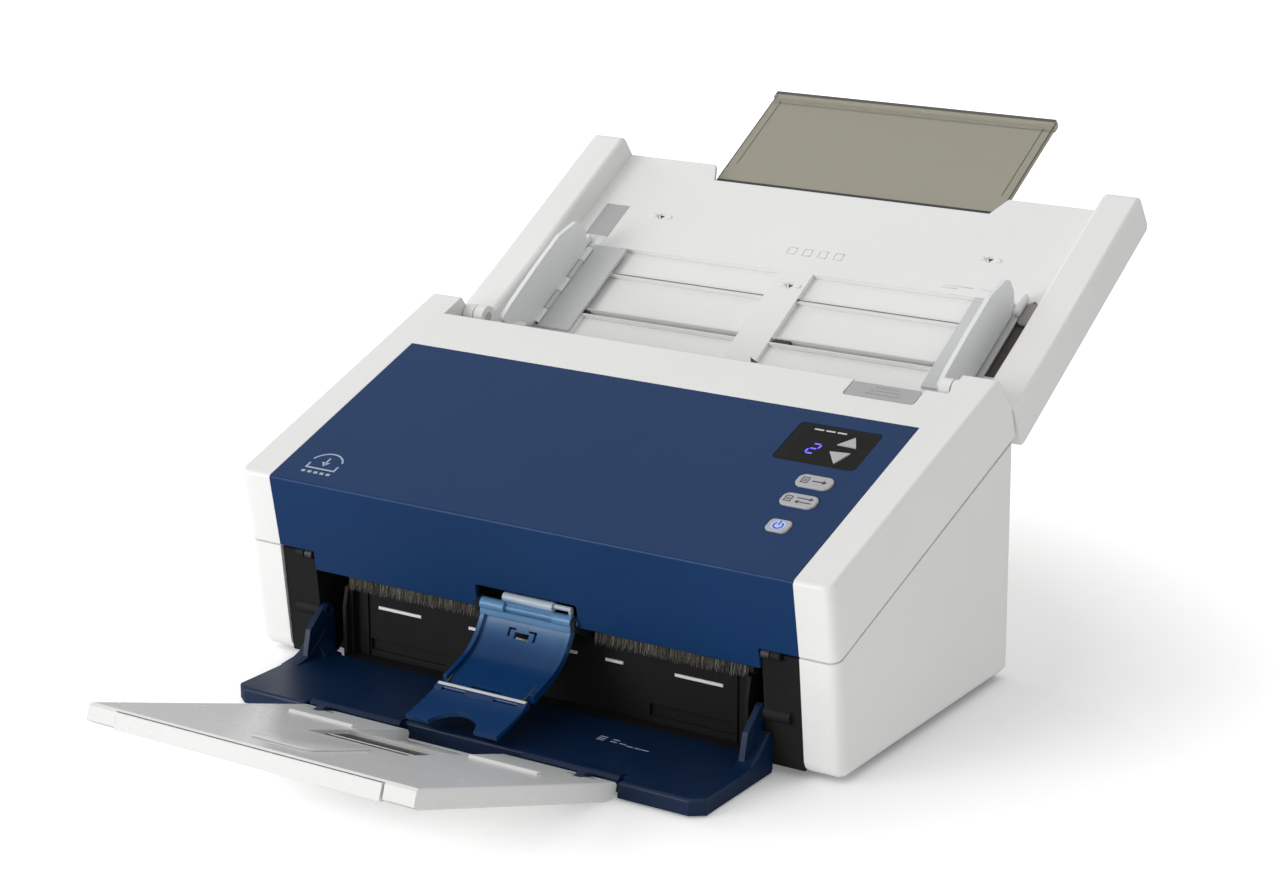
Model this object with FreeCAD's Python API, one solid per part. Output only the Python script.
import FreeCAD, Part
import os, math

# Sheet fed document scanner with its input tray and its output flap open.
# Millimetres, +X to the right, +Y to the rear, +Z up, z = 0 is the table.
# Shapes are drawn with y = 0 on the front top edge of the body; shift_y then centres the
# footprint on the origin.  Points without an x are (y, z) and are drawn out along X.
V = FreeCAD.Vector
os.makedirs("parts", exist_ok=True)

# ---- driving dimensions ----------------------------------------------------------------
body_half = 159.0             # half the body width
cheek_in = 140.5              # inner face of the side cheeks
wall = 2.5                    # shell thickness
rear_y = 172.3                # rear face at the bottom
rear_top_y = 170.9            # rear face at the top of the lower housing
foot_h = 3.0                  # height of the feet
top_front = (0.0, 93.7)       # front top edge
top_tan = 0.3553              # slope of the top
part_front = (6.3, 58.0)      # parting line at the front
part_tan = 0.3594             # slope of the parting line
throat_s = 146.5              # rear edge of the cover between the horns, along the slope
horn_y, horn_z = 152.7, 148.0
skin_len = 118.0              # length of the coloured skin along the slope
skin = 2.2                    # thickness of the coloured skin
tray_deg = 30.0               # tray slope
tray_origin = (269.0, 173.5)  # reference point on the tray floor
panel_origin = (-45.8, 7.5)   # rear edge of the output panel
panel_tilt = 18.7             # rest tilt of the output panel, degrees
shift_y = -91.154             # centres the footprint
play = 0.05                   # running clearance on a radius

# hinge axes
tray_hinge = (158.0, 138.2)
flap_hinge = (12.0, 28.0)
panel_hinge = (-54.0, 9.2)
cover_hinge = (7.7, 56.2)
chute_hinge = (8.0, 51.0)
tip_hinge = (-27.2, 22.6)

tray_pin_r, flap_pin_r, panel_pin_r, cover_pin_r = 2.5, 2.0, 1.2, 1.2
chute_pin_r, tip_pin_r, stopper_pin_r, fold_pin_r = 1.5, 0.8, 0.8, 0.6


# ---- helpers ---------------------------------------------------------------------------
def prism(points, x0, x1):
    corners = [V(x0, y, z) for y, z in points]
    return Part.Face(Part.makePolygon(corners + corners[:1])).extrude(V(x1 - x0, 0, 0))


def box(x0, x1, y0, y1, z0, z1):
    return Part.makeBox(x1 - x0, y1 - y0, z1 - z0, V(x0, y0, z0))


def rod_x(x0, x1, centre, r):
    return Part.makeCylinder(r, x1 - x0, V(x0, *centre), V(1, 0, 0))


def rod_y(x, y, z, r, length):
    return Part.makeCylinder(r, length, V(x, y, z), V(0, 1, 0))


def rod_z(x, y, z, r, length):
    return Part.makeCylinder(r, length, V(x, y, z), V(0, 0, 1))


def fuse(first, *others):
    return first.fuse(list(others)).removeSplitter()


def cut(shape, *tools):
    return shape.cut(list(tools))


def mirrored(shape):
    return shape.mirror(V(0, 0, 0), V(1, 0, 0))


def sides(x0, x1):
    """The x span as given, then its mirror image."""
    return (x0, x1), (-x1, -x0)


def span(sign, x0, x1):
    return sorted((sign*x0, sign*x1))


class Plane:
    """Sloping plane parallel to X: s runs along the slope, n stands off the plane."""

    def __init__(self, origin, along, normal):
        self.origin, self.along, self.normal = V(0, *origin), V(0, *along), V(0, *normal)

    def vector(self, x, s, n):
        return self.origin + V(x, 0, 0) + self.along*s + self.normal*n

    def at(self, s, n):
        p = self.vector(0, s, n)
        return p.y, p.z

    def s_of(self, edge):
        return (middle(edge) - self.origin).dot(self.along)

    def n_of(self, edge):
        return (middle(edge) - self.origin).dot(self.normal)

    def plate(self, points, x0, x1):
        """Section given as (s, n), drawn out along X."""
        return prism([self.at(*p) for p in points], x0, x1)

    def slab(self, s0, s1, n0, n1, x0, x1):
        return self.plate([(s0, n0), (s1, n0), (s1, n1), (s0, n1)], x0, x1)

    def outline(self, points, n0, n1):
        """Outline given as (x, s), raised from n0 to n1."""
        corners = [self.vector(x, s, n0) for x, s in points]
        face = Part.Face(Part.makePolygon(corners + corners[:1]))
        return face.extrude(self.normal*(n1 - n0))

    def rounded(self, x, s, width, height, r, n0, n1):
        """Rounded rectangle centred on (x, s), raised from n0 to n1."""
        x0, x1, s0, s1 = x - width/2, x + width/2, s - height/2, s + height/2
        k = r*(1 - math.sqrt(0.5))
        corners = [[(x1-r, s0), (x1-k, s0+k), (x1, s0+r)],
                   [(x1, s1-r), (x1-k, s1-k), (x1-r, s1)],
                   [(x0+r, s1), (x0+k, s1-k), (x0, s1-r)],
                   [(x0, s0+r), (x0+k, s0+k), (x0+r, s0)]]
        edges = []
        last = self.vector(x0+r, s0, n0)
        for corner in corners:
            arc = [self.vector(*p, n0) for p in corner]
            edges += [Part.makeLine(last, arc[0]), Part.Arc(*arc).toShape()]
            last = arc[2]
        return Part.Face(Part.Wire(edges)).extrude(self.normal*(n1 - n0))

    def rod(self, x, s, r, n0, n1):
        return Part.makeCylinder(r, n1 - n0, self.vector(x, s, n0), self.normal)


def uphill(origin, angle):
    c, s = math.cos(angle), math.sin(angle)
    return Plane(origin, (c, s), (-s, c))


tilt = math.radians(panel_tilt)
COVER = uphill(top_front, math.atan(top_tan))          # top of the cover
PATH = uphill(part_front, math.atan(part_tan))         # parting plane, the paper path
TRAY = uphill(tray_origin, math.radians(tray_deg))     # floor of the input tray
PANEL = Plane(panel_origin, (-math.cos(tilt), math.sin(tilt)),   # top of the output
              (math.sin(tilt), math.cos(tilt)))                  # panel, s to the front
CLIP = Plane((4.6, 41.1), (-0.54, -0.84), (-0.84, 0.54))         # clip on the chute


def middle(edge):
    return edge.valueAt((edge.FirstParameter + edge.LastParameter)/2)


def runs_x(edge):
    d = edge.Vertexes[-1].Point - edge.Vertexes[0].Point
    return len(edge.Vertexes) == 2 and d.Length > 1 and abs(d.x)/d.Length > 0.99


def is_at(edge, y, z, tol):
    return abs(middle(edge).y - y) < tol and abs(middle(edge).z - z) < tol


def on_side(edge, x, tol=0.01):
    return abs(abs(middle(edge).x) - x) < tol


def round_edges(shape, r, picks):
    edges = [e for e in shape.Edges if picks(e)]
    if not edges:
        return shape
    # the kernel can refuse a fillet, and the piece then keeps its sharp edges
    try:
        rounded = shape.makeFillet(r, edges)
        if rounded.isValid() and rounded.Volume > 0:
            return rounded
    except Exception:
        pass
    return shape


def tooth_ring(centre, r, teeth, phase, flank):
    """Points round a gear; flank rows are (part of half a pitch, height over radius r)."""
    pitch = 2*math.pi/teeth
    tooth = [(-f, h) for f, h in flank] + list(flank)[::-1]
    points = []
    for i in range(teeth):
        for f, h in tooth:
            a = phase + i*pitch + 0.5*pitch*f
            points.append((centre[0] + (r+h)*math.cos(a), centre[1] + (r+h)*math.sin(a)))
    return points


pieces = {}


def put(name, *shapes):
    pieces[name] = shapes


def piece(build):
    """Builds a piece and files it under the name of its function."""
    made = build()
    put(build.__name__, *(made if isinstance(made, (list, tuple)) else [made]))


# ==== lower unit ========================================================================
z0 = foot_h


@piece
def lower_housing():
    outer = prism([(12.4, z0), (rear_y, z0), (rear_top_y, 116.7), (6.4, 57.6)],
                  -body_half, body_half)
    outer = round_edges(outer, 8.0, lambda e: runs_x(e) and is_at(e, 12.4, z0, 0.5))
    outer = round_edges(outer, 3.0, lambda e: runs_x(e) and is_at(e, rear_y, z0, 0.5))
    outer = round_edges(outer, 5.0, lambda e: not runs_x(e) and on_side(e, body_half)
                        and middle(e).y < 12.2 and 12 < middle(e).z < 56.5)
    outer = round_edges(outer, 3.0, lambda e: not runs_x(e) and on_side(e, body_half)
                        and middle(e).y > 165 and middle(e).z > 10)
    hollow = prism([(18.0, z0-1), (rear_y-wall, z0-1), (rear_top_y-wall, 118), (9.5, 62)],
                   -body_half+wall, body_half-wall)
    front_opening = box(-cheek_in, cheek_in, -5, 32, z0-1, 70)
    cheeks = [prism([(14, z0), (19.5, z0), (19.5, 62.2), (8.5, 58.2)], *xs)
              for xs in sides(cheek_in, 156.6)]
    housing = cut(outer, hollow, front_opening)
    housing = fuse(housing, *[c.common(outer) for c in cheeks])
    port_holes = [box(38, 53, 165, 180, 18, 31), box(64, 78, 165, 180, 17, 31)]
    vents = [box(-110+i*9, -106+i*9, 165, 180, 30, 62) for i in range(9)]
    lock_hole = box(120, 127, 165, 180, 20, 23.5)
    return cut(housing, *port_holes, *vents, lock_hole)


screw_xy = [(-132, 60), (132, 60), (-132, 146), (132, 146)]
foot_xy = [(-128, 42), (128, 42), (-138, 158), (138, 158)]


@piece
def bottom_plate():
    plate = box(-156.0, 156.0, 33.0, 169.0, z0, z0+2.2)
    plate = fuse(plate, box(-119.0, 119.0, 25.0, 34.0, z0, z0+2.2),
                 *[box(x-3, x+3, 40, 165, z0+2.2, z0+8) for x in (-60, 60)])
    return cut(plate, *[rod_z(x, y, z0-1, 1.7, 5) for x, y in screw_xy])


put("rubber_feet", *[rod_z(x, y, 0, 7.0, foot_h) for x, y in foot_xy])
put("base_screws", *[fuse(rod_z(x, y, z0-1.2, 2.8, 1.2), rod_z(x, y, z0-0.2, 1.6, 9.0))
                     for x, y in screw_xy])


@piece
def front_brackets():
    """Brackets at the front corners that carry the output flap and the cover pins."""
    bracket = prism([(13.2, z0+1.2), (23.5, z0+1.2), (27.0, z0+5), (27.0, 62.6),
                     (22.0, 61.8), (8.0, 56.8)], 121.3, 140.2)
    bracket = cut(bracket, prism([(21.5, z0+6), (40, z0+6), (40, 70), (21.5, 70)],
                                 125.0, 137.0))
    bracket = fuse(bracket, rod_x(126.6, 131.0, cover_hinge, 2.1),
                   prism([(7.7, 54.2), (9.6, 54.0), (9.6, 57.4), (7.7, 56.6)],
                         126.6, 131.0))
    bracket = fuse(bracket, rod_x(121.3, 134.6, flap_hinge, 3.3))   # flap pin boss
    bracket = cut(bracket, rod_x(118, 134, flap_hinge, flap_pin_r+play),
                  rod_x(118, 126.2, cover_hinge, 2.7))
    bracket = cut(bracket, rod_x(120, 132, cover_hinge, cover_pin_r+play))
    return bracket, mirrored(bracket)


strip_xs = [*sides(69.6, 94.4), *sides(33.0, 42.4), (-17.8, 17.8)]


@piece
def exit_wall():
    """Wall behind the flap, with the two posts that carry the chute's pivot."""
    ew = box(-111.0, 111.0, 21.3, 24.0, z0+0.6, 44.0)
    end = [(14.6, z0+0.6), (22, z0+0.6), (22, 40), (17.0, 40), (14.6, 30)]
    ew = fuse(ew, box(-111.0, 111.0, 14.6, 22.0, z0+0.6, z0+3.6),
              *[prism(end, *xs) for xs in sides(109.0, 111.0)])
    for xs in sides(-99.6, -56.2):
        ew = cut(ew, box(*xs, 20.0, 22.8, 9.5, 15.0))
    ew = fuse(ew, *[box(x-0.8, x+0.8, y, 21.4, z0+3.0, 40.0)
                    for x, y in ((-108.2, 17.8), (108.2, 17.8), (-101.2, 20.4), (101.2, 20.4))])
    for xs in strip_xs:
        ew = cut(ew, box(*xs, 20.6, 22.3, 30.5, 32.0))
    post = [(11.0, 44.5), (24.0, 38.0), (24.0, 44.0), (13.5, 52.0), (10.0, 54.0),
            (5.2, 52.0), (5.6, 48.2)]
    ew = fuse(ew, *[prism(post, *xs) for xs in sides(25.0, 27.2)])
    return cut(ew, rod_x(-30, 30, chute_hinge, chute_pin_r+play))


put("wall_strips", *[box(x0+.05, x1-.05, 20.7, 22.25, 30.55, 31.95) for x0, x1 in strip_xs])


@piece
def exit_brush():
    bristles = [(19.0, 45.4), (17.5, 46.4), (16.1, 39.4), (17.4, 39.0), (19.0, 43.8)]
    return [fuse(box(*holder_x, 18.8, 21.2, 41.0, 45.5), prism(bristles, *bristle_x))
            for holder_x, bristle_x in zip(sides(29.5, 110.5), sides(29.8, 108.6))]


# ---- lower paper path ------------------------------------------------------------------
feed_u, exit_u = 122.0, 28.0        # roller stations along the path
feed_v = -10.3                      # depth of the feed roller axis
exit_v = feed_v + 2
feed_xs, exit_xs = (-36, 36), (-60, 60)     # tyre centres
feed_axis, exit_axis = PATH.at(feed_u, feed_v), PATH.at(exit_u, exit_v)
shaft_r = 3.0


@piece
def lower_paper_guide():
    guide = PATH.plate([(15.5, -7.2), (15.5, -3.2), (153.0, -3.2), (170.6, 0.9),
                        (170.6, -3.4), (153, -7.2)], -126.5, 126.5)
    guide = fuse(guide, PATH.slab(36, 146, -7.2, -4.2, -139.0, 139.0))
    guide = cut(guide, *[box(*xs, 0, 27.5, 0, 90) for xs in sides(120.8, 141)])
    guide = cut(guide, PATH.slab(60, 78, -8, 0, -112, 112))
    for x in feed_xs:
        guide = cut(guide, PATH.slab(feed_u-10.5, feed_u+10.5, -8, 0, x-15, x+15))
    for x in exit_xs:
        guide = cut(guide, PATH.slab(exit_u-9, exit_u+9, -8, 0, x-12, x+12))
    guide = cut(guide, *[rod_x(*xs, feed_axis, 4.2) for xs in sides(-140, -126.6)])
    for xs in sides(-139, -131):    # bearing blocks
        guide = fuse(guide, PATH.slab(feed_u-7, feed_u+7, -16, -6, *xs),
                     PATH.slab(exit_u-4.4, exit_u+9, -13.5, -6, *xs))
    guide = cut(guide, rod_x(-140, 140, feed_axis, shaft_r+play),
                rod_x(-140, 140, exit_axis, shaft_r+play))
    return cut(guide, PATH.slab(feed_u-4, feed_u+4, -16.1, -7.3, -130.5, 130.5))


put("lower_scan_glass", PATH.slab(60.2, 77.8, -5.6, -3.3, -111.8, 111.8))
put("lower_image_sensor", fuse(PATH.slab(62, 76, -20, -7.4, -109, 109),
                               PATH.slab(66, 72, -7.5, -5.8, -105, 105)))


def put_roller(name, axis, r, xs, width):
    def is_rim(edge):
        return (hasattr(edge.Curve, 'Radius') and len(edge.Vertexes) == 1
                and abs(edge.Curve.Radius - r) < .01)
    tyres = []
    for x in xs:
        tyre = round_edges(rod_x(x-width/2, x+width/2, axis, r), 0.8, is_rim)
        tyres.append(cut(tyre, rod_x(x-width, x+width, axis, shaft_r)))
    put(name+"_shaft", rod_x(-152.0, 139.5, axis, shaft_r))
    put(name+"_tyres", *tyres)


put_roller("feed_roller", feed_axis, 9.0, feed_xs, 26.0)
put_roller("exit_roller", exit_axis, 7.0, exit_xs, 20.0)

# ---- gear train on the left side, module 1 ---------------------------------------------
feed_teeth, idler_teeth, exit_teeth, motor_teeth = 42, 60, 28, 14
gear_flank = ((0.58, -1.15), (0.36, 0.0), (0.162, 0.85))


def gear_reach(teeth_1, teeth_2):
    """Distance between the axes of two meshing gears."""
    return (teeth_1 + teeth_2)/2.0


def mesh_phase(axis_1, teeth_1, phase_1, axis_2, teeth_2):
    """Phase of gear 2 that puts its gap against a tooth of gear 1."""
    a = math.atan2(axis_2[1]-axis_1[1], axis_2[0]-axis_1[0])
    part = ((a-phase_1)/(2*math.pi/teeth_1)) % 1.0
    return a + math.pi + (part-0.5)*(2*math.pi/teeth_2)


def find_idler():
    """Idler axis, below the line from the feed gear to the exit gear."""
    dy, dz = exit_axis[0]-feed_axis[0], exit_axis[1]-feed_axis[1]
    gap = math.hypot(dy, dz)
    to_feed = gear_reach(feed_teeth, idler_teeth)
    to_exit = gear_reach(exit_teeth, idler_teeth)
    along = (to_feed**2 - to_exit**2 + gap**2)/(2*gap)
    off = math.sqrt(to_feed**2 - along**2)
    return (feed_axis[0] + along*dy/gap - off*dz/gap, feed_axis[1] + along*dz/gap + off*dy/gap)


idler_axis = find_idler()
motor_angle = math.radians(-100)
motor_reach = gear_reach(feed_teeth, motor_teeth)
motor_axis = (feed_axis[0] + motor_reach*math.cos(motor_angle),
              feed_axis[1] + motor_reach*math.sin(motor_angle))
feed_phase = 0.0
idler_phase = mesh_phase(feed_axis, feed_teeth, feed_phase, idler_axis, idler_teeth)
exit_phase = mesh_phase(idler_axis, idler_teeth, idler_phase, exit_axis, exit_teeth)
motor_phase = mesh_phase(feed_axis, feed_teeth, feed_phase, motor_axis, motor_teeth)


def gear(teeth, axis, phase, bore, x0=-149.5, x1=-144.5):
    ring = prism(tooth_ring(axis, teeth/2.0, teeth, phase, gear_flank), x0, x1)
    return cut(ring, rod_x(x0-1, x1+1, axis, bore))


put("feed_gear", gear(feed_teeth, feed_axis, feed_phase, shaft_r))
put("idler_gear", gear(idler_teeth, idler_axis, idler_phase, shaft_r+play))
put("exit_gear", gear(exit_teeth, exit_axis, exit_phase, shaft_r))
put("motor_pinion", fuse(gear(motor_teeth, motor_axis, motor_phase, 2.4, -150.0, -144.0),
                         rod_x(-152.0, -141.1, motor_axis, 2.5)))


@piece
def gear_plate():
    """Plate that carries the gears, and the stub for the idler."""
    plate = fuse(box(-142.6, -141.0, 34.0, 166.0, z0+3.0, 52.0),
                 prism([(34, 50), (166, 50), PATH.at(160, -6.0), PATH.at(34, -6.0)],
                       -142.6, -141.0))
    plate = cut(plate, *[rod_x(-143, -140, axis, r) for axis, r in
                         ((feed_axis, 4.0), (exit_axis, 4.0), (motor_axis, 3.2))])
    return plate, rod_x(-151.5, -142.6, idler_axis, shaft_r)


put("drive_motor", rod_x(-140.9, -104.0, motor_axis, 17.0))

# ---- electronics and rear ports --------------------------------------------------------
put("main_board", fuse(box(-90, 100, 148.0, 149.6, 14, 88),
                       box(-40, -10, 146.4, 148.0, 40, 66),
                       box(10, 30, 145.0, 148.0, 50, 70)),
    box(-30, -14, 144.0, 146.3, 44, 60))


@piece
def rear_ports():
    square = cut(box(39.5, 51.5, 149.8, 170.6, 19.0, 30.0), box(41.5, 49.5, 160, 172, 21, 28))
    coaxial = cut(box(65.5, 76.5, 149.8, 170.6, 18.5, 29.5), rod_y(71, 158, 24, 3.6, 14))
    return square, fuse(coaxial, rod_y(71, 157.5, 24, 1.0, 11.5))


@piece
def tray_brackets():
    """Brackets that rise between the horns to the tray hinge."""
    bracket = prism([(147, 88), (167.6, 88), (167.6, 114.0), (164.5, 124), (162.6, 138.2),
                     (154.0, 138.2), (151.0, 118), (147, 104)], 128.0, 133.6)
    bracket = fuse(bracket, rod_x(128.0, 133.6, tray_hinge, 5.6),
                   box(128.0, 140.3, 150, 167.6, 88, 92))
    bracket = cut(bracket, rod_x(126, 135, tray_hinge, tray_pin_r+play))
    return bracket, mirrored(bracket)


# ==== upper unit ========================================================================
latch_x, latch_w, latch_s = 111.0, 36.0, 134.0    # centre, width, front of the latch pocket
display = (106.75, 93.9)                          # centre of the display, (x, s)
display_w, display_h, display_r = 41.5, 29.3, 2.5
# key: centre (x, s), then width and height of its well
keys = {"up_key": (115.6, 97.6, 14.4, 10.0), "down_key": (115.6, 87.6, 14.4, 10.0),
        "simplex_key": (115.0, 66.7, 18.8, 10.2), "duplex_key": (115.0, 52.3, 18.8, 10.2),
        "power_key": (115.4, 33.3, 12.2, 9.8)}
# cap of each rounded key: width, height, corner radius
caps = {"simplex_key": (17.7, 9.0, 3.6), "duplex_key": (17.7, 9.0, 3.6),
        "power_key": (11.0, 8.6, 2.6)}


@piece
def upper_cover():
    cover = prism([(part_front[0], part_front[1]+0.4), top_front, (horn_y, horn_z),
                   (166.0, 131.4), (170.6, 117.8)], -body_half, body_half)
    cover = round_edges(cover, 5.0, lambda e: not runs_x(e) and on_side(e, body_half)
                        and middle(e).y < 5 and 62 < middle(e).z < 90)
    cover = round_edges(
        cover, 2.2, lambda e: not runs_x(e) and on_side(e, body_half) and middle(e).z > 96
        and abs(middle(e).z - (top_front[1] + top_tan*middle(e).y)) < .6)
    cover = round_edges(cover, 3.5, lambda e: runs_x(e) and is_at(e, horn_y, horn_z, 1))
    # space between the horns
    cover = cut(cover, prism([COVER.at(throat_s, 10), COVER.at(throat_s, 0),
                              PATH.at(138.5, 0), PATH.at(138.5, -20), (190, 60), (190, 190)],
                             -cheek_in, cheek_in))
    # hollow underside, first between the cheeks and then inside them
    cover = cut(cover, prism(
        [(10.4, 40), (10.2, 58.4), (4.7, 90.4), COVER.at(6.5, -3.9), COVER.at(119.5, -3.9),
         COVER.at(121.0, -wall), COVER.at(throat_s-wall, -wall), PATH.at(136.0, 0),
         PATH.at(136.0, -30)], -cheek_in+wall, cheek_in-wall))
    cheek_hollow = [(9.4, 40), (9.2, 58.4), (3.4, 91.8), COVER.at(4, -wall),
                    COVER.at(158.5, -wall), (163.0, 130.4), (168.0, 117.2), (168.0, 40)]
    for xs in sides(cheek_in+wall, body_half-wall):
        cover = cut(cover, prism(cheek_hollow, *xs))
    # seat of the coloured skin
    under = -skin - 0.05
    cover = cut(cover, prism(
        [COVER.at(skin_len+0.1, 5), COVER.at(skin_len+0.1, under), COVER.at(skin, under),
         (part_front[0]+skin+.5, 57.0), (-12, 57.0), (-12, 96)], -cheek_in, cheek_in))
    # clearance for the chute barrel and the front lip
    cover = cut(cover, prism([(0, 40), (16, 40), (16, 62.5), (0, 62.5)], -28.5, 28.5))
    cover = cut(cover, *[box(*xs, 0, 31.5, 40, 63.6) for xs in sides(-cheek_in, -29)])
    # latch pocket, then the wells of the keys and the display
    cover = cut(cover, COVER.rounded(latch_x, latch_s+8.0, latch_w+.6, 16.6, 2.0, -1.6, 3))
    wells = [COVER.rounded(*key, 3.0, -7, -1) for key in keys.values()]
    wells.append(COVER.rounded(*display, display_w+.9, display_h+.9, display_r+.4, -4.2, 1))
    return cut(cover, *wells)


@piece
def front_panel():
    """Coloured skin: top, front and lower lip in one bent sheet."""
    face_y, face_z = part_front[0], 58.4
    lip_z = 48.9
    panel = prism([(face_y, face_z), top_front, COVER.at(skin_len, 0),
                   COVER.at(skin_len, -skin), COVER.at(skin*0.9, -skin),
                   (face_y+skin, face_z)], -cheek_in+.05, cheek_in-.05)
    panel = round_edges(panel, 1.4, lambda e: runs_x(e) and is_at(e, *top_front, .1))
    # the lip carries the slope of the front face straight down
    lip_y = face_y + (face_z-lip_z)*face_y/(top_front[1]-face_z)
    lip = prism([(face_y, face_z), (lip_y, lip_z), (lip_y+1.9, lip_z), (8.4, 60.5),
                 (7.0, 60.5)], -120.6, 120.6)
    panel = fuse(panel, lip)
    panel = cut(panel, box(-27.5, 27.5, -2, 14, 40, 59.7))
    panel = round_edges(panel, 1.2,
                        lambda e: on_side(e, 27.5, .3) and abs(middle(e).z-59.7) < .3)
    panel = cut(panel, COVER.rounded(*display, display_w+.4, display_h+.4, display_r+.2, -5, 2))
    for name, (w, h, r) in caps.items():
        panel = cut(panel, COVER.rounded(*keys[name][:2], w+.5, h+.5, r+.2, -5, 2))
    return panel


# triangular keys, (x, s)
up_triangle = [(116.4, 103.0), (110.6, 95.9), (120.3, 95.6)]
down_triangle = [(109.7, 90.3), (119.9, 91.3), (116.0, 82.0)]


def key_hole(triangle, scale=1.10):
    cx, cs = [sum(values)/3.0 for values in zip(*triangle)]
    return COVER.outline([(cx+(x-cx)*scale, cs+(s-cs)*scale) for x, s in triangle], -5, 2)


def digit_bars():
    """Bars of a slanted figure 2; rows are x0, x1, s0, s1 about its centre."""
    bars = []
    for x0, x1, s0, s1 in ((-1.55, 1.55, -4.05, -3.15), (-1.55, 1.55, -0.45, 0.45),
                           (-1.55, 1.55, 3.15, 4.05), (1.75, 2.65, 0.6, 3.0),
                           (-2.65, -1.75, -3.0, -0.6)):
        corners = [(x0, s0), (x1, s0), (x1, s1), (x0, s1)]
        bars.append(COVER.outline([(101.2+x+0.12*s, 90.7+s) for x, s in corners], -0.7, -0.12))
    return bars


digit = digit_bars()
window = COVER.rounded(*display, display_w, display_h, display_r, -1.6, -0.15)
window = cut(window, key_hole(up_triangle), key_hole(down_triangle))
put("display_window", cut(window, *digit))
put("display_digit", *digit)
put("up_key", fuse(COVER.outline(up_triangle, -2.6, 0.25),
                   COVER.slab(95.2, 103.2, -3.9, -2.6, 110.0, 121.0)))
put("down_key", fuse(COVER.outline(down_triangle, -2.6, 0.25),
                     COVER.slab(83.6, 91.6, -3.9, -2.6, 110.0, 121.0)))
for name, cap in caps.items():
    key = COVER.rounded(*keys[name][:2], *cap, -4.0, 0.9)
    put(name, round_edges(key, 0.6, lambda e: abs(COVER.n_of(e)-0.9) < .02))
put("control_board", COVER.slab(26, 110, -9.6, -8.0, 92, 131),
    *[COVER.slab(s-3, s+3, -8.0, -5.0, x-3, x+3) for x, s, w, h in keys.values()])


@piece
def release_latch():
    latch = COVER.rounded(latch_x, latch_s+5.6, latch_w-.4, 11.0, 1.8, -1.5, -0.1)
    for i in range(3):    # finger grooves
        s = latch_s+3.2+i*2.6
        latch = cut(latch, COVER.slab(s, s+0.6, -0.35, 0.5, 103+i*1.5, 121-i*1.5))
    return latch


separation_axis, pinch_axis = PATH.at(feed_u, 7.2), PATH.at(exit_u, 4.1)


@piece
def cover_inner_frame():
    frame = PATH.slab(18.5, 134.5, 0.9, 3.6, -137.4, 137.4)
    frame = fuse(frame, *[PATH.slab(34, 130, 3.5, 12, x-1.2, x+1.2) for x in (-120, 120)])
    frame = cut(frame, PATH.slab(60, 78, 0, 5, -112, 112),
                PATH.slab(feed_u-9.5, feed_u+9.5, 0, 5, -24, 24))
    for x in exit_xs:
        frame = cut(frame, PATH.slab(exit_u-6.5, exit_u+6.5, 0, 5, x-9, x+9))
    # ears of the separation roller and of the pinch rollers
    for xs in sides(-27.5, -24.5):
        frame = fuse(frame, PATH.slab(feed_u-5, feed_u+5, 3.5, 10.5, *xs))
    for x in exit_xs:
        for xs in ((x-12, x-9.5), (x+9.5, x+12)):
            frame = fuse(frame, PATH.slab(exit_u-4, exit_u+4, 3.5, 7.0, *xs))
    frame = cut(frame, rod_x(-40, 40, separation_axis, 2.0+play),
                rod_x(-80, 80, pinch_axis, 1.5+play))
    frame = cut(frame, PATH.slab(10, 40, -1, 14, -29.5, 29.5))
    # hinge arms and their pins
    arm = [(7.9, 57.2), (9.2, 57.4), (24.0, 63.6), (24.0, 67.5), (11.5, 63.6), (9.5, 60.4),
           (9.0, 58.2), (7.9, 57.7)]
    for xs in sides(121.9, 125.9):
        frame = fuse(frame, rod_x(*xs, cover_hinge, 2.0), prism(arm, *xs))
    return fuse(frame, *[rod_x(*xs, cover_hinge, cover_pin_r) for xs in sides(121.9, 130.6)])


put("upper_scan_glass", PATH.slab(60.2, 77.8, 1.0, 3.2, -111.8, 111.8))
put("upper_image_sensor", fuse(PATH.slab(62, 76, 3.8, 15, -109, 109),
                               PATH.slab(66, 72, 3.3, 3.9, -105, 105)))
put("separation_roller", fuse(rod_x(-22.0, 22.0, separation_axis, 8.0),
                              rod_x(-27.0, 27.0, separation_axis, 2.0)))
put("exit_pinch_rollers", *[fuse(rod_x(x-8.5, x+8.5, pinch_axis, 5.0),
                                 rod_x(x-11.5, x+11.5, pinch_axis, 1.5)) for x in exit_xs])

# ==== input tray ========================================================================
rail_in = 139.6     # inner face of the side rails


def tray_rail():
    rail = TRAY.plate([(-108.9, 13.4), (-110.4, -7.6), (-104.0, -10.0), (48.0, -10.0),
                       (46.0, 12.5), (-60.0, 12.5)], rail_in, body_half)
    rail = round_edges(rail, 4.0, lambda e: runs_x(e) and abs(TRAY.s_of(e)-47) < 3
                       and TRAY.n_of(e) > 8)
    rail = round_edges(rail, 3.5, lambda e: runs_x(e) and abs(TRAY.s_of(e)-48) < 3
                       and TRAY.n_of(e) < -8)
    for r, x in ((1.6, body_half), (2.5, rail_in)):
        rail = round_edges(rail, r, lambda e: not runs_x(e) and abs(middle(e).x-x) < .01
                           and TRAY.n_of(e) > 11.5)
    return rail


def guide_slot(sign, inset, n0, n1):
    """Pointed slot beside a paper guide, drawn in by the inset."""
    x0, x1, s0, s1 = 126.4+inset, 134.6-inset, -78+inset, -28-inset
    points = [(x0, s0), (x1, s0), (x1, s1), (130.5, -24-inset), (x0, s1)]
    return TRAY.outline([(sign*x, s) for x, s in points], n0, n1)


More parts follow.
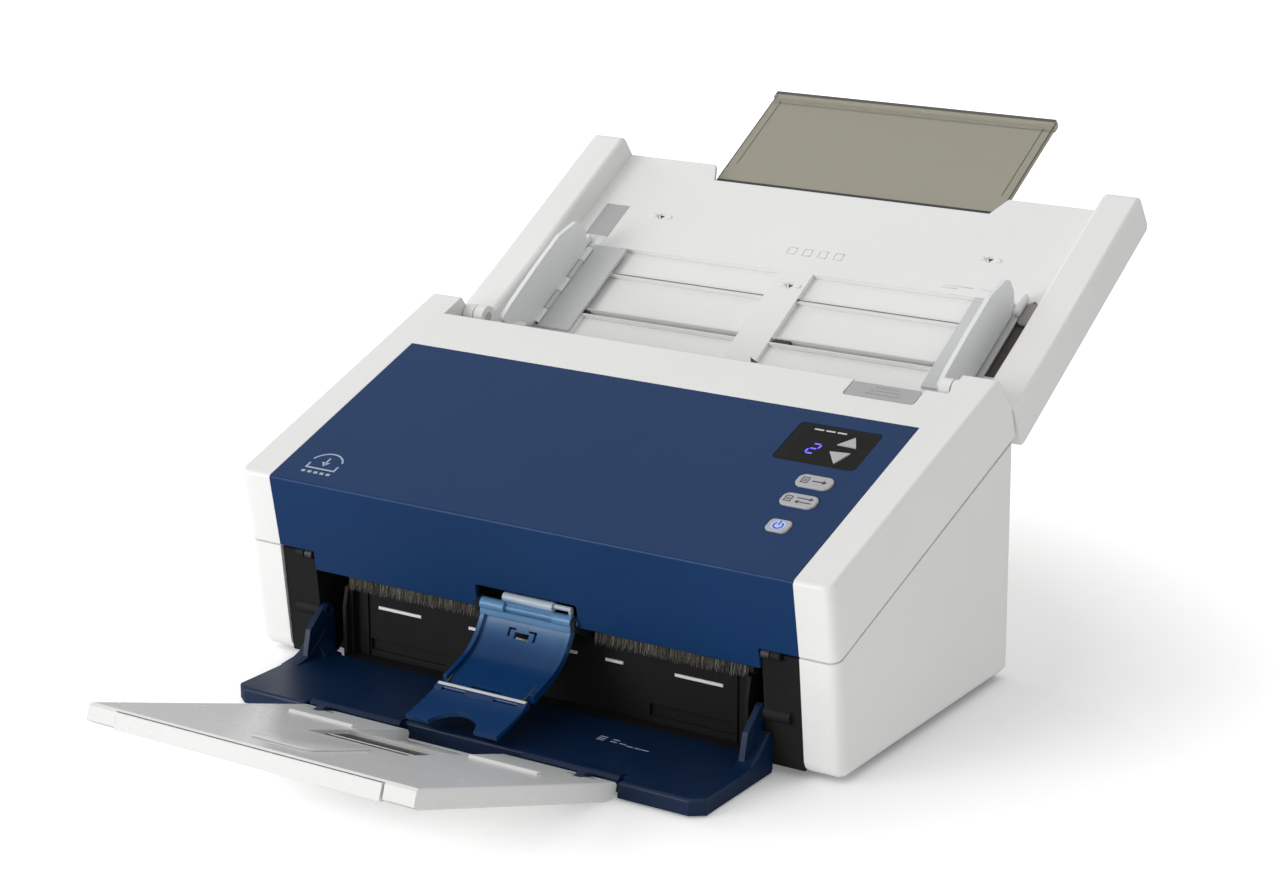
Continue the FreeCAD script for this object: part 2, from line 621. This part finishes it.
def tray_floor():
    floor = TRAY.outline([(-140, -107.5), (140, -107.5), (140, 45), (86, 45), (80.5, 33),
                          (-80.5, 33), (-86, 45), (-140, 45)], -2.5, 0)
    # windows either side of the centre: s0, s1, outer x
    windows = [TRAY.slab(s0, s1, -5, 1, *xs)
               for s0, s1, x1 in ((-45.6, -27.0, 106.0), (-73.4, -46.6, 106.0),
                                  (-77.2, -73.8, 126.2), (-100.0, -78.0, 100.0))
               for xs in sides(-x1, -9.5)]
    slots = [guide_slot(sign, 0, -2.2, 1) for sign in (-1, 1)]
    insert_seat = TRAY.slab(-20, 5, -0.9, 1, -132.2, -118.0)
    mark_r = 2.4
    marks = []      # shallow hexagons
    for x, s in ((-95.5, 0.4), (95.5, 0.4), (1.0, -36.7)):
        angles = [i*math.pi/3 for i in range(6)]
        marks.append(TRAY.outline([(x+mark_r*math.cos(a), s+mark_r*math.sin(a))
                                   for a in angles], -0.4, 1))
    return cut(floor, *windows, *slots, insert_seat, *marks)


@piece
def input_tray():
    rail = tray_rail()
    arm = [(-111.0, -4.0), (-96, -4.0), (-96, 6), (-104, 22), (-108.3, 25.4),
           (-119.3, 25.4), (-118.5, 19), (-111.5, 10)]
    arms = [fuse(TRAY.plate(arm, *xs), rod_x(*xs, tray_hinge, 5.5))
            for xs in sides(-139.8, -134.2)]
    tray = fuse(rail, mirrored(rail), tray_floor(), *arms)
    tray = cut(tray, *[rod_x(*xs, tray_hinge, tray_pin_r+play) for xs in sides(134.0, 140.0)])
    # keeps the rails clear of the horns around the hinge axis
    return cut(tray, *[rod_x(*xs, tray_hinge, 11.9) for xs in sides(139.85, 160)])


put("tray_hinge_pins", *[rod_x(*xs, tray_hinge, tray_pin_r) for xs in sides(128.3, 139.9)])


@piece
def tray_slat_plate():
    plate = TRAY.slab(-100.0, -10.0, -3.9, -2.55, -116.0, 116.0)
    plate = cut(plate, *[TRAY.slab(-77.4, -73.6, -5, 1, *xs) for xs in sides(-126.4, -8)])
    return cut(plate, *[TRAY.slab(-73.4, -46.6, -3.2, 1, *xs) for xs in sides(-105.9, -9.6)])


put("guide_slot_liners", *[guide_slot(sign, 0.1, -2.15, -1.5) for sign in (-1, 1)])
put("tray_insert_strip", TRAY.slab(-19.9, 4.9, -0.85, -0.05, -132.1, -118.1))

pinion_s, pinion_post_r = -75.5, 2.0    # pinion of the paper guides, on the centre line


@piece
def tray_back_cover():
    back = TRAY.slab(-107.0, 44.0, -12.0, -10.05, -139.0, 139.0)
    back = cut(back, TRAY.slab(33.5, 46, -13, -9, -86, 86))
    back = fuse(back, TRAY.slab(-107.0, -104.8, -10.1, -2.6, -133.5, 133.5),
                *[TRAY.slab(-104.9, 30, -10.1, -4.2, *xs) for xs in sides(84.4, 86.2)])
    back = cut(back, *[TRAY.slab(-88, -62, -9.6, -2, *xs) for xs in sides(-90, -80)])
    return fuse(back, TRAY.rod(0, pinion_s, pinion_post_r, -10.1, -7.0))


@piece
def tray_extension():
    ext = TRAY.slab(3.0, 110.5, -6.4, -4.2, -83.3, 83.3)
    ext = fuse(ext, TRAY.slab(107.5, 112.2, -7.4, -2.6, -83.3, 83.3))
    return round_edges(ext, 1.6, lambda e: runs_x(e) and TRAY.s_of(e) > 112)


# ---- paper guides: a hinged fin on a base plate driven by rack and pinion --------------
fold_x, fold_n = 120.3, 2.4          # axis about which the fin folds, parallel to s
fin_lugs = (-86, -62, -38)
rack_n = (-9.3, -7.2)
rack_x0, rack_x1 = -4.0, 121.3
rack_pitch = math.pi
first_tooth = rack_x0 + 2.2
pinion_r, pinion_teeth = 6.0, 12


def fold_rod(s0, s1, r):
    return Part.makeCylinder(r, s1-s0, TRAY.vector(fold_x, s0, fold_n), TRAY.along)


def guide_fin():
    fin = TRAY.plate([(-38.5, 1.9), (-32.5, 6.0), (-30.2, 11.5), (-31.0, 18.6),
                      (-34.2, 21.6), (-50, 25.6), (-76, 25.2), (-100, 24.0),
                      (-112.6, 22.4), (-107, 15.6), (-99, 10.5), (-92, 1.9)], 121.8, 124.2)
    fin = round_edges(fin, 2.4, lambda e: runs_x(e) and TRAY.n_of(e) > 14)
    lugs = [fold_rod(s-5, s+5, 1.3).fuse(TRAY.slab(s-5, s+5, 1.9, 3.6, 120.6, 122.0))
            for s in fin_lugs]
    return fuse(fin, *lugs, fold_rod(-90.5, -33.5, fold_pin_r))


def guide_plate():
    base = TRAY.slab(-92, -28.6, 0.15, 1.5, 100.6, 121.5)
    base = fuse(base, TRAY.slab(-92, -28.6, 0.15, 0.45, 121.0, 127.2))
    knuckles = [fold_rod(s-6.5, s+6.5, 1.3).fuse(
        TRAY.slab(s-6.5, s+6.5, 0.4, 2.4, 119.2, 121.4)) for s in (-74, -50)]
    base = cut(base, *[fold_rod(s-5.4, s+5.4, 1.5) for s in fin_lugs])
    base = fuse(base, *knuckles)
    # leg down through the tray floor
    return fuse(base, TRAY.slab(pinion_s-1.4, pinion_s+1.4, -9.3, 0.3, 117.5, 121.3))


def rack(sign):
    """Rack up the slope from the pinion for the right guide, down it for the left."""
    pitch_s = pinion_s + sign*pinion_r
    back_s, root_s = pitch_s + sign*3.4, pitch_s + sign*1.3
    points = [(rack_x0, back_s), (rack_x0, root_s)]
    for i in range(int((rack_x1-8-rack_x0)/rack_pitch)):
        x = first_tooth + i*rack_pitch
        for dx, ds in ((-0.9, 1.25), (-0.5, 0.0), (-0.28, -0.8),
                       (0.28, -0.8), (0.5, 0.0), (0.9, 1.25)):
            points.append((x+dx, pitch_s+sign*ds))
    points += [(rack_x1, root_s), (rack_x1, back_s)]
    return TRAY.outline([(sign*x, s) for x, s in points], *rack_n)


def guide_base(sign):
    base, bore = guide_plate(), fold_rod(-97, -27, fold_pin_r+play)
    if sign < 0:
        base, bore = mirrored(base), mirrored(bore)
    link_s = sorted((pinion_s-sign*1.4, pinion_s+sign*10.5))
    base = fuse(base, TRAY.slab(*link_s, *rack_n, *span(sign, 117.5, 121.3)))
    base = fuse(base, rack(sign))
    return cut(base, bore)


put("right_guide_base", guide_base(1))
put("left_guide_base", guide_base(-1))
fin = guide_fin()
put("right_guide_fin", fin)
put("left_guide_fin", mirrored(fin))


@piece
def guide_pinion():
    # the second tooth of the right rack lies nearest x = 0 and falls in a gap
    phase = math.pi/2 - (first_tooth+rack_pitch)/pinion_r + math.pi/pinion_teeth
    ring = tooth_ring((0, pinion_s), pinion_r, pinion_teeth, phase,
                      ((0.58, -1.2), (0.34, 0.0), (0.16, 0.75)))
    return cut(TRAY.outline(ring, *rack_n), TRAY.rod(0, pinion_s, pinion_post_r+play, -12, -5))


# ==== output side =======================================================================
@piece
def output_flap():
    z_low, z_high = 1.0, 8.4
    half = 125.0
    # right half of the outline, (x, y)
    right = [(111.6, 9.5), (111.6, 12.4), (half-1.2, 12.4), (half, 11.2), (half+0.4, -36),
             (half+0.6, -43), (119.5, -47.5), (84.2, -47.5), (84.2, -41.5)]
    corners = [V(x, y, z_low) for x, y in [(-x, y) for x, y in right] + right[::-1]]
    flap = Part.Face(Part.makePolygon(corners+corners[:1])).extrude(V(0, 0, z_high-z_low))
    flap = round_edges(flap, 1.6, lambda e: abs(middle(e).z-z_high) < .01 and middle(e).y < 2)
    flap = cut(flap, box(-108, 108, -38, 5, z_low-1, z_low+4.6))
    flap = fuse(flap, *[box(x-1, x+1, -41, 6, z_low+.4, z_low+5)
                        for x in (-72, -36, 0, 36, 72)])
    ridge = [(-41.4, 2.0), (-45.0, 2.4), (-45.2, 8.0), (-43.6, 9.3), (-40, 9.3),
             (-37.5, 8.2), (-37.5, 2.0)]
    for xs in sides(-83.1, -32.6):
        flap = fuse(flap, prism(ridge, *xs))
    # side cheeks: a thin upright that takes the hinge pin and a low wall at the side
    upright = [(-5.2, 8.0), (-4.2, 11.0), (-1.6, 21.6), (-0.6, 22.8), (8.8, 30.6),
               (12.0, 31.6), (15.0, 30.2), (16.6, 27.0), (16.8, 13.0), (14.0, 4.4),
               (10, 2.0), (-4, 2.0)]
    low_wall = [(-15.0, 8.3), (-8.0, 9.0), (-2.0, 11.2), (3.0, 14.6), (8.0, 18.6),
                (10.2, 20.0), (11.2, 19.4), (12.1, 8.2), (12.1, 2.0), (-6, 2.0)]
    gusset_xz = [(118.2, 8.0), (112.8, 8.0), (112.8, 8.9), (118.2, 15.4), (118.2, 8.0)]
    for sign in (-1, 1):
        low = prism(low_wall, *span(sign, 117.0, half-0.1))
        low = round_edges(low, 1.2, lambda e: not runs_x(e) and abs(middle(e).x) > half-0.3
                          and middle(e).z > 9 and middle(e).y < 11)
        gusset = Part.Face(Part.makePolygon([V(sign*x, 3.0, z) for x, z in gusset_xz]))
        flap = fuse(flap, prism(upright, *span(sign, 117.6, 120.5)), low,
                    rod_x(*span(sign, 117.0, 120.7), flap_hinge, 3.4),
                    gusset.extrude(V(0, 9.0, 0)),
                    box(sign*115.5-5.0, sign*115.5+5.0, 3.0, 12.3, 2.0, 8.2))
    # lugs for the output panel hinge
    lug = [(-40, 2.2), (-53.5, 4.2), (-56.0, 5.6), (-56.0, 10.8), (-52.6, 11.6),
           (-45, 8.0), (-40, 7.9)]
    for xs in sides(68.0, 72.0):
        flap = fuse(flap, prism(lug, *xs))
    flap = cut(flap, *[rod_x(*xs, flap_hinge, flap_pin_r+play) for xs in sides(113, 121)])
    return cut(flap, *[rod_x(*xs, panel_hinge, panel_pin_r+play) for xs in sides(67, 73)])


put("flap_hinge_pins", *[rod_x(*xs, flap_hinge, flap_pin_r) for xs in sides(118.0, 132.0)])
put("panel_hinge_pins", *[rod_x(*xs, panel_hinge, panel_pin_r) for xs in sides(64.0, 76.0)])

stopper_axis = PANEL.at(47.6, -2.8)


@piece
def output_panel():
    panel = PANEL.plate([(0.6, -1.2), (0.6, -6.0), (7.0, -8.7), (141.0, -8.7),
                         (145.4, -7.4), (145.4, -1.2), (144.2, 0), (2.0, 0)], -83.5, 83.5)
    panel = cut(panel, box(-90, 90, -70, -30, -5, 1.0))
    panel = round_edges(panel, 0.9, lambda e: not runs_x(e) and on_side(e, 83.5)
                        and e.Length > 100)
    panel = cut(panel, PANEL.slab(8, 139, -9.5, -4.2, -79, 79))
    panel = fuse(panel, *[PANEL.slab(8, 139, -8.2, -2.0, x-1, x+1) for x in (-69.2, 69.2)])
    panel = cut(panel, *[PANEL.slab(-1, 13.5, -10, 1.5, *xs) for xs in sides(67.4, 72.6)])
    # recess over the centre for the folded chute tip
    panel = fuse(panel, PANEL.slab(6, 44, -6.6, -4.0, -28.5, 28.5))
    panel = cut(panel, PANEL.outline([(-25.8, -1), (25.8, -1), (25.8, 38), (21.0, 42),
                                      (-21.0, 42), (-25.8, 38)], -4.6, 1))
    ridge = [(32.4, -0.1), (33.6, 1.2), (35.6, 1.2), (36.8, -0.1)]
    for xs in sides(-66.0, -31.0):
        panel = fuse(panel, PANEL.plate(ridge, *xs))
    panel = cut(panel, PANEL.slab(44, 74, -5, 1, -26, 26))    # window for the stopper
    # room for the slide
    panel = cut(panel, PANEL.slab(134, 147, -10, -4.2, -68.3, 68.3))
    panel = cut(panel, PANEL.slab(142.5, 150, -9.5, -0.9, -68.3, 68.3))
    # blocks either side of each lug; the bores are cut before them and again through them
    bores = [rod_x(*xs, panel_hinge, panel_pin_r+play) for xs in sides(-78, -62)]
    panel = cut(panel, *bores)
    block = [(4.5, -0.4), (4.5, -6.6), (12.5, -6.6), (12.5, -0.4)]
    for sign in (-1, 1):
        for x0, x1 in ((63.2, 67.3), (72.7, 76.8)):
            panel = fuse(panel, PANEL.plate(block, *span(sign, x0, x1)))
    panel = cut(panel, *bores)
    return cut(panel, rod_x(-28, 28, stopper_axis, stopper_pin_r+play))


put("panel_slide", fuse(fuse(PANEL.slab(60, 143.8, -7.4, -5.0, -67.6, 67.6),
                             PANEL.slab(142.7, 146.2, -8.4, -1.2, -67.6, 67.6)),
                        PANEL.slab(60, 62, -7.4, -4.4, -66, 66)))


@piece
def paper_stopper():
    stopper = PANEL.rounded(0, 60.6, 50.4, 25.2, 1.5, -3.3, -1.6)
    stopper = fuse(stopper, PANEL.slab(46.2, 49.0, -4.0, -1.6, -25.2, 25.2))
    return fuse(stopper, rod_x(-27.5, 27.5, stopper_axis, stopper_pin_r))


# ---- exit chute: a curved leaf and a hinged tip ----------------------------------------
def curved_plate(top, thick, x0, x1):
    """Curve through (y, z) points, thickened downward, or upward if thick is negative."""
    under = []
    for i, p in enumerate(top):
        before, after = top[max(i-1, 0)], top[min(i+1, len(top)-1)]
        dy, dz = after[0]-before[0], after[1]-before[1]
        length = math.hypot(dy, dz)
        under.append(V(x0, p[0]-dz/length*thick, p[1]+dy/length*thick))
    over = [V(x0, *p) for p in top]
    over_curve, under_curve = Part.BSplineCurve(), Part.BSplineCurve()
    over_curve.interpolate(over)
    under_curve.interpolate(under[::-1])
    wire = Part.Wire([over_curve.toShape(), Part.makeLine(over[-1], under[-1]),
                      under_curve.toShape(), Part.makeLine(under[0], over[0])])
    return Part.Face(wire).extrude(V(x1-x0, 0, 0))


@piece
def exit_chute():
    half = 24.6
    top = [(9.0, 49.0), (5.0, 41.6), (0.4, 35.6), (-6.9, 30.4), (-15.5, 26.9), (-24.6, 24.0)]
    neck = [(6.0, 50.4), (10.4, 50.4), (10.8, 47.6), (7.6, 45.9), (5.4, 46.6)]
    chute = fuse(curved_plate(top, 2.0, -half, half), rod_x(-half, half, chute_hinge, 2.9),
                 prism(neck, -half, half),
                 *[curved_plate(top, -1.6, *xs) for xs in sides(-half, -22.4)])
    # clip near the top, a small window and slots beside it: x0, x1, s0, s1
    for x0, x1, s0, s1 in ((-4.8, 2.8, -0.6, 2.4), (-8.6, -7.3, -2.4, 1.8),
                           (-8.6, -4.6, -2.4, -1.5), (5.4, 6.7, -2.4, 2.4),
                           (2.4, 6.7, -2.4, -1.5)):
        chute = cut(chute, CLIP.slab(s0, s1, -6, 6, x0, x1))
    # gap across the barrel, then the hood over it
    chute = cut(chute, box(-11.6, 14.6, 2.0, 7.6, 49.6, 54.4),
                box(-11.6, 14.6, 2.0, 20.0, 52.0, 54.4))
    chute = fuse(chute, rod_x(-12.0, 15.0, (7.4, 56.3), 2.3),
                 prism([(7.2, 55.0), (9.3, 55.0), (9.7, 50.4), (7.7, 50.4)], -11.7, 14.7))
    chute = fuse(chute, rod_x(14.8, 24.4, (7.4, 56.9), 1.2),
                 prism([(6.4, 56.6), (8.4, 56.6), (9.4, 51.6), (7.0, 51.6)], 23.0, 24.4))
    chute = fuse(chute, rod_x(-27.1, 27.1, chute_hinge, chute_pin_r))
    # knuckles for the tip
    knuckles = []
    for xs in sides(-20.0, -8.0):
        knuckles.append(rod_x(*xs, tip_hinge, 1.7))
        knuckles.append(prism([(-24.0, 21.6), (-24.0, 23.7), (-27.0, 24.2), (-27.3, 21.0)], *xs))
    gap = [(-22.8, 18), (-22.8, 26.5), (-31, 26.5), (-31, 18)]
    chute = cut(chute, *[prism(gap, *xs) for xs in ((-25, -20.0), (-8, 8), (20.0, 25))])
    chute = fuse(chute, *knuckles)
    return cut(chute, rod_x(-30, 30, tip_hinge, tip_pin_r+play))


@piece
def exit_chute_tip():
    tip = curved_plate([(-29.6, 22.6), (-36, 20.4), (-43.5, 18.4), (-51.0, 16.7)],
                       2.0, -24.4, 24.4)
    knuckles = []
    for xs in ((-24.4, -20.2), (-7.8, 7.8), (20.2, 24.4)):
        knuckles.append(rod_x(*xs, tip_hinge, 1.7))
        knuckles.append(prism([(-27.0, 21.0), (-26.9, 24.2), (-30.4, 22.8), (-30.2, 20.4)], *xs))
    tip = fuse(tip, *knuckles)
    notch = rod_z(0, -53.2, 5, 12.4, 30)    # round notch in the front edge
    return fuse(cut(tip, notch), rod_x(-24.2, 24.2, tip_hinge, tip_pin_r))


# ==== one file per piece ================================================================
for name, shapes in pieces.items():
    solids = []
    for shape in shapes:
        for solid in shape.Solids or [shape]:
            solid = solid.copy()
            solid.translate(V(0, shift_y, 0))
            solids.append(solid)
    out = solids[0] if len(solids) == 1 else Part.makeCompound(solids)
    out.exportStep("parts/%s.step" % name)
